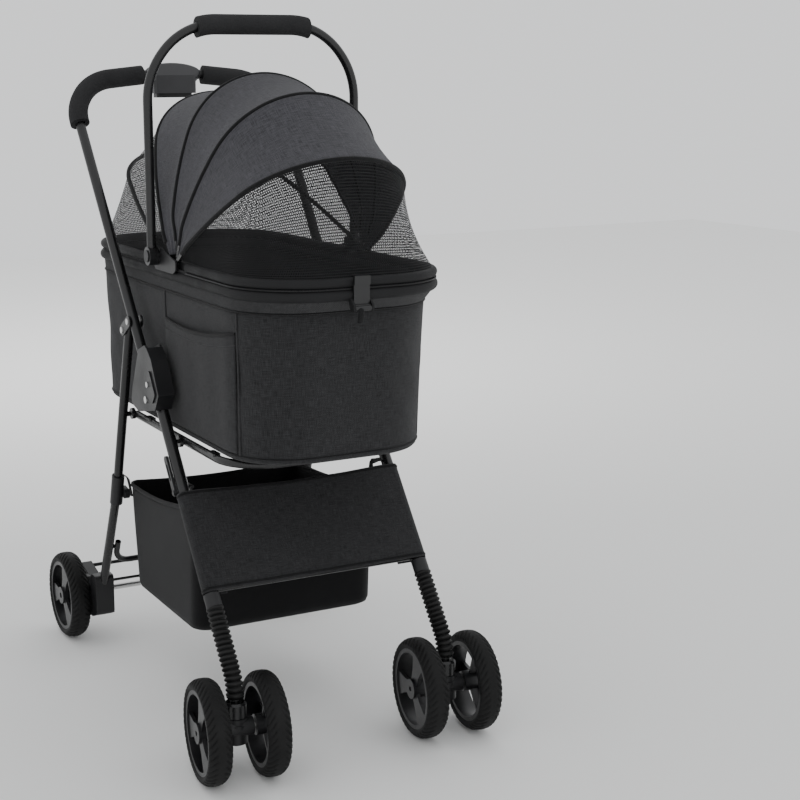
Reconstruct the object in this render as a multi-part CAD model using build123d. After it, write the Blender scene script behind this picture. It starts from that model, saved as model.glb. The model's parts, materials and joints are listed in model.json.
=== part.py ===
"""Folding pet stroller with a lift-off carrier, modelled as its separate pieces.

Millimetres. +Z is up, the front of the stroller looks towards -Y, and the origin lies on the
ground under the middle of the bounding box. Points given as pairs are (y, z) in a side view.
"""
from build123d import *
import os
from math import atan2, cos, degrees, hypot, pi, radians, sin, sqrt

# ---- driving dimensions ----
wheel_radius = 75.0
tyre_width = 34.0
tyre_depth = 15.0
running_gap = 0.05          # radial clearance of every pin in its hole
air_gap = 0.4               # clearance between neighbours on different bodies

leg_x = 172.0               # plane of the front legs
rear_leg_x = 174.0          # plane of the rear legs
leg_radius = 9.0
rear_leg_radius = 7.5
handle_radius = 8.0
tube_wall = 1.2

front_axle_y = -324.0
caster_trail = 6.0
caster_turn = -6.5          # both casters stand turned this far from straight ahead
caster_wheel_offset = 42.8
rear_axle_y = 330.0
rear_wheel_x = 209.7

leg_low = (-246.0, 233.0)   # lower end of a front leg tube
leg_tilt = 37.0             # lean of the front legs from vertical
fold_pivot = (-31.0, 493.0)
handle_low = (38.0, 592.0)
handle_corner = (270.0, 922.0)
handle_low_x = 175.0
handle_top_x = 184.0
handle_top = (309.0, 977.0)
link_handle = (45.0, 602.0)  # rivet of the link plates in the handle tube
link_leg = (72.0, 585.0)     # rivet of the link plates in the rear leg
rear_collar = (157.6, 301.5)
rear_leg_foot = (247.0, 112.0)
seat_pivot = (-92.0, 438.0)
seat_rear = (115.0, 440.0)

rim_half_width = 152.0      # centre line of the rim tubes
rim_front = -380.0
rim_rear = 330.0
rim_corner = 105.0
lower_rim_z = 685.5
lower_rim_radius = 8.0
upper_rim_z = 702.3
upper_rim_radius = 7.0
tub_bottom_z = 445.5
tub_top_z = 680.0
tub_wall = 3.0
canopy_pivot = (-90.0, 702.3)
bow_half_width = 161.0
bow_radius = 2.2
bows = {                    # angle above the front rim, height of the arch
    "front_bow": (33.0, 296.0),
    "middle_bow": (63.0, 276.0),
    "top_bow": (95.0, 275.0),
}
rear_bows = ((129.0, 317.0), (157.0, 390.0))
bow_crown = 0.84            # crown radius as a share of the half width
bail_pivot = (-30.0, 711.0)
bail_x = 171.0
bail_radius = 7.0
bail_top_z = 1049.0

os.makedirs("parts", exist_ok=True)


def save(name, *solids):
    """Write one sub-part, made of one solid or of several alike."""
    shape = solids[0] if len(solids) == 1 else Compound(children=list(solids))
    shape.label = name
    export_step(shape, f"parts/{name}.step")


def both(shape):
    """A right-hand piece and its mirror image on the left."""
    return [shape, mirror(shape, about=Plane.YZ)]


def side_point(x, yz):
    return Vector(x, yz[0], yz[1])


def rod_x(x0, x1, yz, radius):
    """A round bar along X from x0 to x1 at (y, z)."""
    plane = Plane(origin=(min(x0, x1), yz[0], yz[1]), x_dir=(0, 1, 0), z_dir=(1, 0, 0))
    return extrude(plane * Circle(radius), abs(x1 - x0))


def side_plate(x0, x1, outline):
    """A plate between x0 and x1 with a face drawn as (y, z) on the side view."""
    plane = Plane(origin=(min(x0, x1), 0, 0), x_dir=(0, 1, 0), z_dir=(1, 0, 0))
    return extrude(plane * outline, abs(x1 - x0))


def polygon(points, radius=0.0):
    """A flat outline through (y, z) points, with its corners rounded."""
    face = make_face(Polyline(*[(p[0], p[1]) for p in points], close=True))
    return fillet(face.vertices(), radius) if radius else face


def slot_outline(a, b, radius):
    """A stadium outline round the points a and b."""
    middle = ((a[0] + b[0]) / 2, (a[1] + b[1]) / 2)
    length = hypot(b[0] - a[0], b[1] - a[1])
    angle = degrees(atan2(b[1] - a[1], b[0] - a[0]))
    return Pos(*middle) * Rot(0, 0, angle) * SlotCenterToCenter(length, 2 * radius)


def tube(points, bends, radius, wall=tube_wall):
    """A round tube through points with bends between its straight runs."""
    path = FilletPolyline(*points, radius=bends) if bends else Polyline(*points)
    section = Circle(radius) - Circle(radius - wall) if wall else Circle(radius)
    start = Plane(origin=path @ 0, z_dir=path % 0)
    return sweep(start * section, path=path)


def along_leg(s):
    """The (y, z) point at distance s up the front leg from its lower end."""
    tilt = radians(leg_tilt)
    return (leg_low[0] + s * sin(tilt), leg_low[1] + s * cos(tilt))


def leg_plane(x, s, side=1.0):
    """A plane across the front leg at distance s, looking up the leg."""
    y, z = along_leg(s)
    tilt = radians(leg_tilt)
    return Plane(origin=(x, y, z), x_dir=(side, 0, 0), z_dir=(0, sin(tilt), cos(tilt)))


def leg_sleeve(x, s0, s1, outer, inner):
    """A round sleeve on the front leg between distances s0 and s1."""
    return extrude(leg_plane(x, s0) * (Circle(outer) - Circle(inner)), s1 - s0)


# ---- wheels ----
spoke_count = 3
hub_radius = 15.0
rim_ring = 6.0
spoke_low = 7.0             # the spokes lie between these distances from the wheel's middle
spoke_high = 12.5
spoke_turn = 20.0


def tyre():
    """Tyre with a rounded tread, on the X axis through the origin."""
    half = tyre_width / 2
    inner = wheel_radius - tyre_depth
    profile = make_face(Polyline(
        (inner, -half + 2), (inner + 3, -half), (wheel_radius - 7, -half),
        (wheel_radius - 1.8, -half + 6), (wheel_radius, -half + 12), (wheel_radius, half - 12),
        (wheel_radius - 1.8, half - 6), (wheel_radius - 7, half), (inner + 3, half),
        (inner, half - 2), close=True))
    return revolve(Plane.YX * profile, Axis.X)


def wheel_rim(axle_radius, face):
    """Rim ring, hub barrel and broad spokes near the outer face, which looks to +X or -X."""
    outer = wheel_radius - tyre_depth
    half = tyre_width / 2 - 2
    barrel = half + 1.5
    ring = rod_x(-half, half, (0, 0), outer) - rod_x(-half, half, (0, 0), outer - rim_ring)
    hub = rod_x(-barrel, barrel, (0, 0), hub_radius)
    spoke_face = polygon([(-9, 8), (9, 8), (11, 28), (20, outer - 3), (-20, outer - 3), (-11, 28)], 4)
    rib_face = polygon([(-2, 8), (2, 8), (2, outer - 3), (-2, outer - 3)])
    spoke = side_plate(face * spoke_low, face * spoke_high, spoke_face)
    spoke += side_plate(-face * spoke_low, face * spoke_high, rib_face)
    spokes = [Rot(spoke_turn + 360 / spoke_count * i, 0, 0) * spoke for i in range(spoke_count)]
    body = ring + hub
    for spoke in spokes:
        body += spoke
    return body - rod_x(-barrel, barrel, (0, 0), axle_radius + running_gap)


# ---- front casters and struts ----
swivel_y = front_axle_y + caster_trail
axle_radius = 4.0
strut_radius = 7.0
boot_radius = 13.0
strut_top = 92.0            # length of the strut inside the leg tube
socket_bottom_z = 90.0
socket_top_z = 112.0
strut_bend = 60.0
stem_radius = 6.0


def place_caster(shape, side):
    """Turn a piece modelled about the swivel axis and set it under a leg."""
    return Pos(side * leg_x, swivel_y, 0) * Rot(0, 0, caster_turn) * shape


def caster_fork():
    """Swivel post between the twin wheels, with its stem and its axle barrel."""
    post = Pos(0, 0, 52) * Cylinder(17.5, socket_bottom_z - 0.5 - 52, align=(Align.CENTER,) * 2 + (Align.MIN,))
    stem = Pos(0, 0, 70) * Cylinder(stem_radius, 34, align=(Align.CENTER,) * 2 + (Align.MIN,))
    axle_at = (-caster_trail, wheel_radius)
    barrel = rod_x(-23, 23, axle_at, 13)
    skirt = Pos(0, 0, 76) * Cylinder(19.5, 5, align=(Align.CENTER,) * 2 + (Align.MIN,))
    body = post + stem + barrel + skirt
    return body - rod_x(-24, 24, axle_at, axle_radius + running_gap)


def strut_path():
    """Corner points of the strut: down the line of the leg, then upright to the socket."""
    tilt = radians(leg_tilt)
    knee_z = leg_low[1] - (leg_low[0] - swivel_y) * cos(tilt) / sin(tilt)
    top = along_leg(strut_top)
    return [(leg_x, top[0], top[1]), (leg_x, swivel_y, knee_z),
            (leg_x, swivel_y, socket_top_z - 8)]


def strut():
    """Inner strut with its lower bend, and the socket that the caster stem turns in."""
    rod = tube(strut_path(), strut_bend, strut_radius, 0)
    base = Pos(leg_x, swivel_y, socket_bottom_z)
    height = socket_top_z - socket_bottom_z
    socket = base * Cylinder(16, height, align=(Align.CENTER,) * 2 + (Align.MIN,))
    socket = chamfer(socket.faces().sort_by(Axis.Z)[-1].edges(), 3)
    bore = base * Cylinder(stem_radius + running_gap, 14.5, align=(Align.CENTER,) * 2 + (Align.MIN,))
    return rod + socket - bore


def boot():
    """Rubber bellows over the strut: a straight pleated sleeve with a curved lower end."""
    pitch = 8.0
    inner = strut_radius + 2.0
    pleats = []
    count = 11
    for i in range(count):
        plane = leg_plane(leg_x, -7.0 - pitch * (i + 1))
        lower = Solid.make_cone(boot_radius - 2.5, boot_radius, pitch / 2, plane=plane)
        upper = Solid.make_cone(boot_radius, boot_radius - 2.5, pitch / 2,
                                plane=plane.offset(pitch / 2))
        pleats += [lower, upper]
    sleeve = pleats[0]
    for cone in pleats[1:]:
        sleeve += cone
    bore = extrude(leg_plane(leg_x, -7.0 - pitch * (count + 1)) * Circle(inner), pitch * (count + 2))
    tail = tube(strut_path(), strut_bend, boot_radius - 1.5, boot_radius - 1.5 - inner)
    tail -= extrude(leg_plane(leg_x, -7.0 - pitch * count) * Circle(80), 400)
    tail -= Pos(leg_x, swivel_y, socket_top_z + 5 - 60) * Box(120, 120, 120)
    return sleeve - bore + tail


def spring():
    """Coil spring inside the leg tube, above the strut."""
    turns_radius = 5.5
    wire = 1.1
    low = leg_plane(leg_x, strut_top + wire + 0.2)
    helix = Helix(pitch=6.0, height=30.0, radius=turns_radius)
    section = Plane(origin=helix @ 0, z_dir=helix % 0) * Circle(wire)
    coil = sweep(section, path=helix)
    return low.location * coil


for side, hand in ((-1, "right"), (1, "left")):
    def handed(shape, side=side):
        return shape if side > 0 else mirror(shape, about=Plane.YZ)
    save(f"{hand}_strut", handed(strut()))
    save(f"{hand}_boot", handed(boot()))
    save(f"{hand}_spring", handed(spring()))
    save(f"{hand}_caster_fork", place_caster(caster_fork(), side))
    axle_half = caster_wheel_offset + tyre_width / 2 - 4
    axle_yz = (-caster_trail, wheel_radius)
    axle = rod_x(-axle_half, axle_half, axle_yz, axle_radius)
    save(f"{hand}_front_axle", place_caster(axle, side))
    for end, place in ((-1, "right"), (1, "left")):
        spot = Pos(end * caster_wheel_offset, -caster_trail, wheel_radius)
        save(f"{hand}_caster_{place}_rim", place_caster(spot * wheel_rim(axle_radius, end), side))
        save(f"{hand}_caster_{place}_tyre", place_caster(spot * tyre(), side))

# ---- front frame ----
leg_length = 312.0
cross_bar_s = 22.0
pin_radius = 3.0
shell_inner_x = 160.6
shell_outer_x = 187.0
cheek = 3.4

leg_tube = extrude(leg_plane(leg_x, 0) * (Circle(leg_radius) - Circle(leg_radius - tube_wall)), leg_length)
leg_top_cap = extrude(leg_plane(leg_x, leg_length - 6) * Circle(leg_radius - tube_wall + 0.2), 6)
seat_stub = rod_x(leg_x - leg_radius + 1, leg_x - 16.4, seat_pivot, pin_radius)
spring_stop_s = strut_top + 33.5
spring_stop = extrude(leg_plane(leg_x, spring_stop_s) * Circle(leg_radius - tube_wall + 0.2), 4)
one_leg = leg_tube + leg_top_cap + seat_stub + spring_stop
bar_yz = along_leg(cross_bar_s)
cross_bar = rod_x(-leg_x + leg_radius - 1, leg_x - leg_radius + 1, bar_yz, 6)
frame = one_leg + mirror(one_leg, about=Plane.YZ) + cross_bar
frame -= rod_x(-leg_x + leg_radius - 2, leg_x - leg_radius + 2, bar_yz, 4.8)
save("front_frame_tubes", frame)

shell_outline = polygon([(-84, 508), (-68, 483), (4, 468), (36, 476), (30, 500), (-2, 566),
                         (-30, 577), (-56, 558)], 7)
web_outline = polygon([(-84, 508), (-68, 483), (-48, 479), (-46, 520), (-30, 560), (-34, 576),
                       (-56, 558)], 3)
shell = side_plate(shell_inner_x, shell_inner_x + cheek, shell_outline)
shell += side_plate(shell_outer_x - cheek, shell_outer_x, shell_outline)
shell += side_plate(shell_inner_x, shell_outer_x, web_outline)
ridge = polygon([(-74, 508), (-62, 492), (-38, 500), (-46, 548)], 5)
shell += side_plate(shell_outer_x, shell_outer_x + 2.2, ridge)
shell -= extrude(leg_plane(leg_x, leg_length - 60) * Circle(leg_radius + 0.02), 61)
shell -= rod_x(shell_inner_x - 1, shell_outer_x + 4, fold_pivot, pin_radius)
save("hinge_shells", *both(shell))

upper_rivet = (-45.0, 519.0)
fold_pin = rod_x(shell_inner_x - 1.5, shell_outer_x + 2, fold_pivot, pin_radius)
fold_pin += rod_x(shell_outer_x, shell_outer_x + 2, fold_pivot, 5.5)
fold_pin += rod_x(shell_inner_x - 1.5, shell_inner_x, fold_pivot, 5)
rivet = rod_x(shell_outer_x + 2.2, shell_outer_x + 4.2, upper_rivet, 4.5)
save("hinge_rivets", *both(fold_pin), *both(rivet))

collar = leg_sleeve(leg_x, -6, 14, leg_radius + 3, leg_radius)
collar += leg_sleeve(leg_x, -6, -0.1, leg_radius + 3, strut_radius + 0.5)
save("front_collars", *both(collar))

# ---- front fabric panel: a flat sleeve drawn round both legs ----
panel_half = 184.0
panel_depth = 12.4
panel_skin = 2.0
panel_low_s = 16.0
panel_high_s = 172.0
panel_flap = 42.0
outer_sleeve = RectangleRounded(2 * panel_half, 2 * panel_depth, panel_depth - 0.2)
inner_sleeve = RectangleRounded(2 * (panel_half - panel_skin), 2 * (panel_depth - panel_skin),
                                panel_depth - panel_skin - 0.2)
back_gap = Pos(0, -panel_depth) * Rectangle(2 * (panel_half - panel_flap), 2 * panel_depth)
panel_face = outer_sleeve - inner_sleeve - back_gap
save("leg_panel", extrude(leg_plane(0, panel_low_s, -1.0) * panel_face, panel_high_s - panel_low_s))

# ---- storage hook on the right front leg ----
hook_pivot_s = 178.0
hook_tip_s = 232.0
hook_out = 6.5              # the hook lies behind the leg
tilt = radians(leg_tilt)


def behind_leg(s, out):
    """A (y, z) point at distance s up the leg and out behind it."""
    y, z = along_leg(s)
    return (y + out * cos(tilt), z - out * sin(tilt))


hook_x = -(leg_x + leg_radius + air_gap)
hook_axis = behind_leg(hook_pivot_s, hook_out)
hook_arm = slot_outline(hook_axis, behind_leg(hook_tip_s, hook_out), 5.5)
hook_slot = slot_outline(behind_leg(hook_pivot_s + 22, hook_out),
                         behind_leg(hook_tip_s - 10, hook_out), 2.2)
hook = side_plate(hook_x - 4.0, hook_x, hook_arm - hook_slot)
save("storage_hook", hook + rod_x(hook_x - 5.5, hook_x - 4, hook_axis, 4))

# ---- push handle ----
plug_x0 = 165.0
plug_x1 = 181.0
grip_radius = 16.0


def handle_point(t):
    """A point of the right handle arm: t = 0 at its low end, 1 at the corner."""
    x = handle_low_x + t * (handle_top_x - handle_low_x)
    y = handle_low[0] + t * (handle_corner[0] - handle_low[0])
    z = handle_low[1] + t * (handle_corner[1] - handle_low[1])
    return Vector(x, y, z)


def mirrored(points):
    """A symmetric path: the points from -X to the middle, then back out to +X."""
    left = [Vector(-p.X, p.Y, p.Z) for p in points]
    return left + [p for p in reversed(points)]


arm_direction = (handle_point(1) - handle_point(0)).normalized()
shoulder = Vector(150.0, handle_top[0] - 8, handle_top[1] - 10)
crown_end = Vector(52.0, handle_top[0], handle_top[1])
arm_axis = Vector(0, arm_direction.Y, arm_direction.Z).normalized()


def up_arm(distance):
    """The (y, z) point at a distance from the fold pivot up the handle arm."""
    return (fold_pivot[0] + distance * arm_axis.Y, fold_pivot[1] + distance * arm_axis.Z)


plug_length = 52.0
plug_radius = 11.5
spigot = 24.0
tube_start_t = -(hypot(handle_low[0] - fold_pivot[0], handle_low[1] - fold_pivot[1])
                 - plug_length - plug_radius - 0.5)
tube_start = handle_point(0) + arm_direction * tube_start_t
corner_bend = 78.0
shoulder_bend = 78.0
crown_bend = 20.0
bends = [corner_bend, shoulder_bend, crown_bend]
handle_path = mirrored([tube_start, handle_point(1.0), shoulder, crown_end])
link_hole = [rod_x(s * 160, s * 190, link_handle, pin_radius) for s in (-1, 1)]
handle = tube(handle_path, bends + bends[::-1], handle_radius)
save("handle_tube", handle - link_hole[0] - link_hole[1])


def grip(side):
    """Foam sleeve from the top of one arm round its corner to the console."""
    end = crown_end + (shoulder - crown_end) * 0.03
    points = [handle_point(0.93), handle_point(1.0), shoulder, end]
    if side < 0:
        points = [Vector(-p.X, p.Y, p.Z) for p in points]
    path = FilletPolyline(*points, radius=[corner_bend, shoulder_bend])
    begin = Plane(origin=path @ 0, z_dir=path % 0)
    return sweep(begin * (Circle(grip_radius) - Circle(handle_radius)), path=path)


save("handle_grips", grip(-1), grip(1))

plug = side_plate(plug_x0, plug_x1, slot_outline(fold_pivot, up_arm(plug_length), plug_radius))
arm_start = Plane(origin=tube_start, z_dir=arm_direction)
plug += extrude(arm_start.offset(-8) * Circle(handle_radius - tube_wall), spigot + 8)
plug -= rod_x(plug_x0 - 1, plug_x1 + 1, fold_pivot, pin_radius + running_gap)
save("handle_plugs", *both(plug))

# ---- fold release console and its squeeze button ----
console_half = 50.0
console_height = 19.0
console_depth = 11.5
button_half = 32.0
button_box = (296.0, 318.0, 939.0, 958.0)   # y low, y high, z low, z high
button_travel = 7.0
console_plane = Plane(origin=(0, handle_top[0], handle_top[1]), x_dir=(1, 0, 0),
                      z_dir=(0, -arm_axis.Z, arm_axis.Y))
console = extrude(console_plane.offset(-console_depth) * Ellipse(console_half, console_height),
                  2 * console_depth)
console = fillet(console.edges(), 6)
y0, y1, z0, z1 = button_box
chin = Pos(0, (y0 + y1) / 2, handle_top[1] - 16) * Box(2 * button_half + 12, y1 - y0 + 10, 30)
console += fillet(chin.edges().filter_by(Axis.Z), 5)
console -= rod_x(-console_half - 1, console_half + 1, handle_top, handle_radius)
pocket_top = z1 + button_travel + 1
console -= Pos(0, (y0 + y1) / 2, (z0 + pocket_top) / 2) * Box(
    2 * button_half + 0.8, y1 - y0 + 0.8, pocket_top - z0)
save("handle_console", console)
button = Pos(0, (y0 + y1) / 2, (z0 + z1) / 2) * Box(2 * button_half, y1 - y0, z1 - z0)
save("fold_button", fillet(button.edges().filter_by(Axis.Z), 4))

# ---- link plates between the handle and the rear legs ----
plate_outline = slot_outline(link_handle, link_leg, 9)
rear_hole = rod_x(160, 190, link_leg, pin_radius)
link_pair = [side_plate(183.9, 186.1, plate_outline), side_plate(163.4, 165.8, plate_outline)]
link_pair = [p - link_hole[1] - rear_hole for p in link_pair]
save("link_plates", *[q for p in link_pair for q in both(p)])
rivets = []
for spot in (link_handle, link_leg):
    pin = rod_x(162.4, 188.0, spot, pin_radius) + rod_x(186.1, 188.0, spot, 5)
    pin += rod_x(162.4, 163.4, spot, 4.6)
    rivets += both(pin)
save("link_rivets", *rivets)

# ---- rear frame ----
rear_dir = Vector(0, rear_collar[0] - link_leg[0], rear_collar[1] - link_leg[1]).normalized()
rear_top = side_point(rear_leg_x, link_leg) - rear_dir * 11
foot_point = side_point(rear_leg_x, rear_leg_foot)
rear_leg = tube([rear_top, side_point(rear_leg_x, rear_collar), foot_point], 90, rear_leg_radius)
rear_leg += rod_x(rear_leg_x - rear_leg_radius + 1, 161.4, seat_rear, 4)
rear_leg -= rod_x(160, 190, link_leg, pin_radius + running_gap)
bar_x = 159.5
bar_radius = 5.0
bar_high = (203.0, 200.0)
bar_low = (222.0, 160.0)
u_bar = tube([side_point(-bar_x, bar_high), side_point(-bar_x, bar_low),
              side_point(bar_x, bar_low), side_point(bar_x, bar_high)], 24, bar_radius, 1.0)
frame = rear_leg + mirror(rear_leg, about=Plane.YZ) + u_bar
for s in (-1, 1):
    frame += rod_x(s * (bar_x + 1), s * (rear_leg_x - rear_leg_radius + 1), (207.5, 191.0), 3.5)
lower_rod = (243.6, 119.2)
frame += rod_x(-rear_leg_x + 6, rear_leg_x - 6, lower_rod, 2.5)
save("rear_frame_tubes", frame)

collar_dir = (foot_point - side_point(rear_leg_x, rear_collar)).normalized()
collar_at = Plane(origin=side_point(rear_leg_x, rear_collar) - rear_dir * 4, z_dir=rear_dir)
collar = extrude(collar_at * Circle(10.5), 26, both=True)
clip = side_plate(rear_leg_x - 15, rear_leg_x - 7, slot_outline(
    (rear_collar[0] - 14, rear_collar[1] - 2), rear_collar, 8))
collar = collar + clip
leg_bore = tube([rear_top, side_point(rear_leg_x, rear_collar), foot_point], 90,
                rear_leg_radius + 0.02, 0)
save("rear_collars", *both(collar - leg_bore))

brake_pivot = (292.0, 108.0)
brake_tip = (338.0, 119.0)
axle_at = (rear_axle_y, wheel_radius)
rear_axle_radius = 5.0
housing_x0 = 158.0
housing_x1 = 190.5
core = polygon([(238, 130), (262, 130), (272, 96), (334, 96), (352, 78), (346, 58), (318, 50),
                (262, 52), (238, 62)], 6)
ear = polygon([(262, 96), (284, 118), (300, 118), (316, 94)], 5)
housing = side_plate(housing_x0, housing_x1, core)
housing += side_plate(housing_x0, housing_x0 + 6, ear)
housing += side_plate(housing_x1 - 6, housing_x1, ear)
housing -= leg_bore
housing -= rod_x(100, 169, lower_rod, 2.55)
housing -= rod_x(housing_x0 - 1, housing_x1 + 1, axle_at, rear_axle_radius)
housing += rod_x(housing_x0 + 1, housing_x1 - 1, brake_pivot, pin_radius)
save("axle_housings", *both(housing))
axle_end = rear_wheel_x + tyre_width / 2 - 4
save("rear_axle", rod_x(-axle_end, axle_end, axle_at, rear_axle_radius))

for side, hand in ((-1, "right"), (1, "left")):
    spot = Pos(side * rear_wheel_x, rear_axle_y, wheel_radius)
    save(f"{hand}_rear_rim", spot * wheel_rim(rear_axle_radius, side))
    save(f"{hand}_rear_tyre", spot * tyre())

pedal = side_plate(165.0, 183.5, slot_outline(brake_pivot, brake_tip, 8))
pedal -= rod_x(164, 185, brake_pivot, pin_radius + running_gap)
brake = pedal + mirror(pedal, about=Plane.YZ) + rod_x(-166, 166, brake_tip, 3.2)
save("brake_pedals", brake)

# ---- seat frame that carries the carrier ----
seat_x = 150.0
seat_radius = 6.0
seat_z = seat_pivot[1]
seat_front = -285.0
seat = tube([(-seat_x, seat_rear[0], seat_z), (-seat_x, seat_front, seat_z),
             (seat_x, seat_front, seat_z), (seat_x, seat_rear[0], seat_z)], 70, seat_radius)
saddle_top = tub_bottom_z - air_gap
for s in (-1, 1):
    lug = rod_x(s * 154.5, s * 160.2, seat_pivot, 9)
    lug -= rod_x(s * 155.2, s * 161, seat_pivot, pin_radius + running_gap)
    seat += lug + rod_x(s * 154.5, s * 160.2, seat_rear, 9)
    for y in (-205.0, 55.0):
        block = Pos(s * seat_x, y, (seat_z + 3 + saddle_top) / 2) * Box(12, 26, saddle_top - seat_z - 3)
        seat += fillet(block.edges().filter_by(Axis.Z), 3)
    seat -= rod_x(s * 155.2, s * 161, seat_pivot, pin_radius + running_gap)
save("seat_frame_tube", seat)

# ---- storage basket ----
basket_half = 153.0
basket_skin = 2.5
basket_side = polygon([(163, 314), (138, 147), (-128, 147), (-136, 345)], 14)
basket_room = polygon([(163 - 3, 318), (138 - 2.5, 147 + basket_skin),
                       (-128 + 2.5, 147 + basket_skin), (-136 + 2.5, 352)], 11)
basket = side_plate(-basket_half, basket_half, basket_side)
basket -= side_plate(-basket_half + basket_skin, basket_half - basket_skin, basket_room)
strap_end = along_leg(179)
strap_turn = (-121, 376)
for s in (-1, 1):
    basket += side_plate(s * 150.5, s * 153, slot_outline((-120, 328), strap_turn, 4))
    basket += side_plate(s * 150.5, s * 153, slot_outline(strap_turn, strap_end, 4))
    basket += rod_x(s * 151, s * (leg_x - leg_radius), strap_end, 4)
save("storage_basket", basket)

# ---- carrier: rims ----
rim_straight_end = -45.0
door_tongue_start = -128.0


def rim_ring(z, radius):
    """A closed round rim at height z."""
    middle = (rim_front + rim_rear) / 2
    outline = Pos(0, middle, z) * RectangleRounded(2 * rim_half_width, rim_rear - rim_front, rim_corner)
    path = outline.face().outer_wire()
    start = Plane(origin=path @ 0, z_dir=path % 0)
    return sweep(start * Circle(radius), path=path)


def rim_hoop(y_open, y_end, z, radius):
    """A U of rim tube from both sides at y_open round the end at y_end."""
    w = rim_half_width
    return tube([(-w, y_open, z), (-w, y_end, z), (w, y_end, z), (w, y_open, z)],
                rim_corner, radius)


latch_x = -9.0
latch_half = 12.0
latch_pivot = (-394.0, 668.0)
latch_hole = rod_x(latch_x - 20, latch_x + 20, latch_pivot, 1.5 + running_gap)
rim_body = rim_ring(lower_rim_z, lower_rim_radius)
solid_rim = rim_ring(lower_rim_z, lower_rim_radius + 0.02)
lug_face = polygon([(-398, 664), (-398, 672), (-386, 684), (-381, 684), (-381, 680), (-388, 664)])
ring = rim_body
for x0 in (latch_x - latch_half - 3.4, latch_x + latch_half + 0.4):
    ring += side_plate(x0, x0 + 3, lug_face)
ring += rod_x(latch_x - latch_half - 2, latch_x + latch_half + 2, latch_pivot, 1.5)
save("lower_rim", ring)
save("rear_rim", rim_hoop(rim_straight_end, rim_rear, upper_rim_z, upper_rim_radius))

latch_out = rim_front - lower_rim_radius - air_gap
flap = Pos(latch_x, latch_out - 1.5, 690) * Box(2 * latch_half, 3, 44)
lip_z = upper_rim_z + upper_rim_radius + air_gap
lip = Pos(latch_x, latch_out - 2.5, lip_z - 4) * Box(2 * latch_half, 5, 12)
barrel = rod_x(latch_x - latch_half, latch_x + latch_half, latch_pivot, 4)
neck = Pos(latch_x, latch_out - 3.2, 670) * Box(2 * latch_half, 6.4, 6)
save("front_latch", flap + lip + barrel + neck - latch_hole)

# ---- carrier: tub and floor board ----
seam_z = 659.0


def tub_section(z, half, front, rear, corner):
    """A rounded rectangle across the tub at height z."""
    return Pos(0, (front + rear) / 2, z) * RectangleRounded(2 * half, rear - front, corner)


def tub_solid(inset, low, high):
    """The tub shape shrunk by inset, between its low and high ends."""
    a = tub_section(low, 148 - inset, -338 + inset, 318 - inset, 95 - inset)
    b = tub_section(seam_z, 152 - inset, -354 + inset, 326 - inset, 100 - inset)
    c = tub_section(high, 153.5 - inset, -381.5 + inset, 331.5 - inset, 106.5 - inset)
    return loft([a, b], ruled=True) + loft([b, c], ruled=True)


tub_join_z = lower_rim_z - 4
tub = tub_solid(0, tub_bottom_z, tub_join_z)
tub -= tub_solid(tub_wall, tub_bottom_z + tub_wall, tub_join_z + 0.01)
tub -= solid_rim
save("carrier_tub", tub.solids().sort_by(SortBy.VOLUME)[-1])
board = tub_section(tub_bottom_z + tub_wall + 0.1, 140, -330, 310, 88)
save("floor_board", fillet(extrude(board, 6).edges().group_by(Axis.Z)[-1], 2))

# ---- carrier: hub brackets, pivot pins and bail pins ----
bracket_face = polygon([(-104, 696), (-104, 709), (-82, 714), (-44, 725), (-16, 722),
                        (-14, 698), (-22, 690), (-92, 690)], 5)
bracket = side_plate(160.2, 162.7, bracket_face)
bracket += side_plate(148, 160.2, polygon([(-72, 690), (-72, 703), (-49, 703), (-49, 690)], 2))
bracket += side_plate(156, 160.2, polygon([(-44, 690), (-44, 712), (-18, 712), (-18, 690)], 2))
bracket += rod_x(142.5, 162, canopy_pivot, pin_radius)
bracket += rod_x(160.3, 179.2, bail_pivot, 4)
bracket += rod_x(179.0, 180.4, bail_pivot, 9)
hoop_room = Pos(rim_half_width, 0, upper_rim_z) * Rot(90, 0, 0) * Cylinder(upper_rim_radius + 0.02, 90)
bracket -= solid_rim
bracket -= hoop_room
save("hub_brackets", *both(bracket))

# ---- canopy bows ----
arch_steps = 16


def arch_point(u, half, height):
    """(x, h) on a three-centre arch, u = 0 at the right foot and 1 at the left foot."""
    crown = bow_crown * half
    side = (half ** 2 + (height - crown) ** 2 - crown ** 2) / (2 * (half - crown))
    split = atan2(height - crown, side - half)
    side_length = side * split
    crown_length = crown * (pi / 2 - split)
    run = min(u, 1 - u) * 2 * (side_length + crown_length)
    if run < side_length:
        x = half - side + side * cos(run / side)
        h = side * sin(run / side)
    else:
        angle = split + (run - side_length) / crown
        x = crown * cos(angle)
        h = height - crown + crown * sin(angle)
    return (-x if u < 0.5 else x, h)


def on_bow(x, h, angle):
    """A point at x across and h out from the canopy pivot, at an angle above the front."""
    a = radians(angle)
    return Vector(x, canopy_pivot[0] - h * cos(a), canopy_pivot[1] + h * sin(a))


tongue_reach = 50.0
joggle_reach = 78.0


def bow_rod(tongue_x, angle, height):
    """A bent round rod that rises from the tongue plane to the arch and over."""
    knots = [(-tongue_x, tongue_reach - 4), (-tongue_x, tongue_reach + 4)]
    arch = [arch_point(i / 40, bow_half_width, height) for i in range(41)]
    inner = [p for p in arch if p[1] > joggle_reach]
    knots += inner + [(-p[0], p[1]) for p in reversed(knots)]
    points = [on_bow(p[0], p[1], angle) for p in knots]
    up = on_bow(0, 1, angle) - on_bow(0, 0, angle)
    path = Spline(*points, tangents=[up, -up])
    return sweep(Plane(origin=path @ 0, z_dir=path % 0) * Circle(bow_radius), path=path)


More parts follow.
